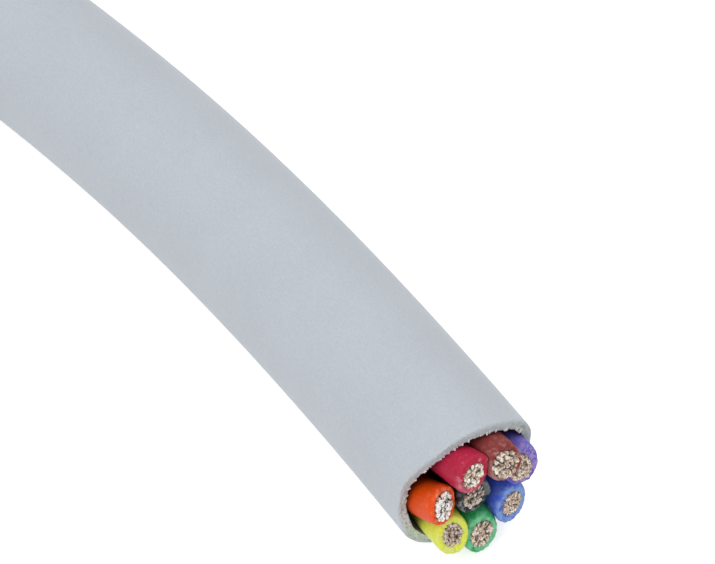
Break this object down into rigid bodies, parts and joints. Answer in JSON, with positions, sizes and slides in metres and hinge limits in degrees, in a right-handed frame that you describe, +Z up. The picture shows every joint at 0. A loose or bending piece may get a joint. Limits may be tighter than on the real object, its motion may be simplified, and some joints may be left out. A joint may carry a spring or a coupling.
{
  "type": "multiconductor cable",
  "caption": "Short cut length of round grey control cable in a gentle bend, with insulated stranded conductors standing out of the jacket at one end.",
  "frame": {"origin": "centre of the part's footprint, on the surface that the cable lies on", "axes": "+X along the cable from its plain cut end to the end with the conductors, +Y towards the outside of the bend, +Z up"},
  "size_m": [0.0578, 0.0164, 0.009],
  "materials": {
    "jacket": "light grey extruded PVC, slightly satin",
    "insulation_black": "black PVC insulation, semi-gloss",
    "insulation_brown": "brown PVC insulation, semi-gloss",
    "insulation_red": "red PVC insulation, semi-gloss",
    "insulation_orange": "orange PVC insulation, semi-gloss",
    "insulation_yellow": "yellow PVC insulation, semi-gloss",
    "insulation_green": "green PVC insulation, semi-gloss",
    "insulation_blue": "blue PVC insulation, semi-gloss",
    "insulation_violet": "violet PVC insulation, semi-gloss",
    "strands": "tinned copper, cut ends"
  },
  "bodies": {
    "root": {"jacket": "jacket", "insulation_black": "insulation_black", "insulation_brown": "insulation_brown", "insulation_red": "insulation_red", "insulation_orange": "insulation_orange", "insulation_yellow": "insulation_yellow", "insulation_green": "insulation_green", "insulation_blue": "insulation_blue", "insulation_violet": "insulation_violet", "strands_black": "strands", "strands_brown": "strands", "strands_red": "strands", "strands_orange": "strands", "strands_yellow": "strands", "strands_green": "strands", "strands_blue": "strands", "strands_violet": "strands"}
  },
  "joints": []
}
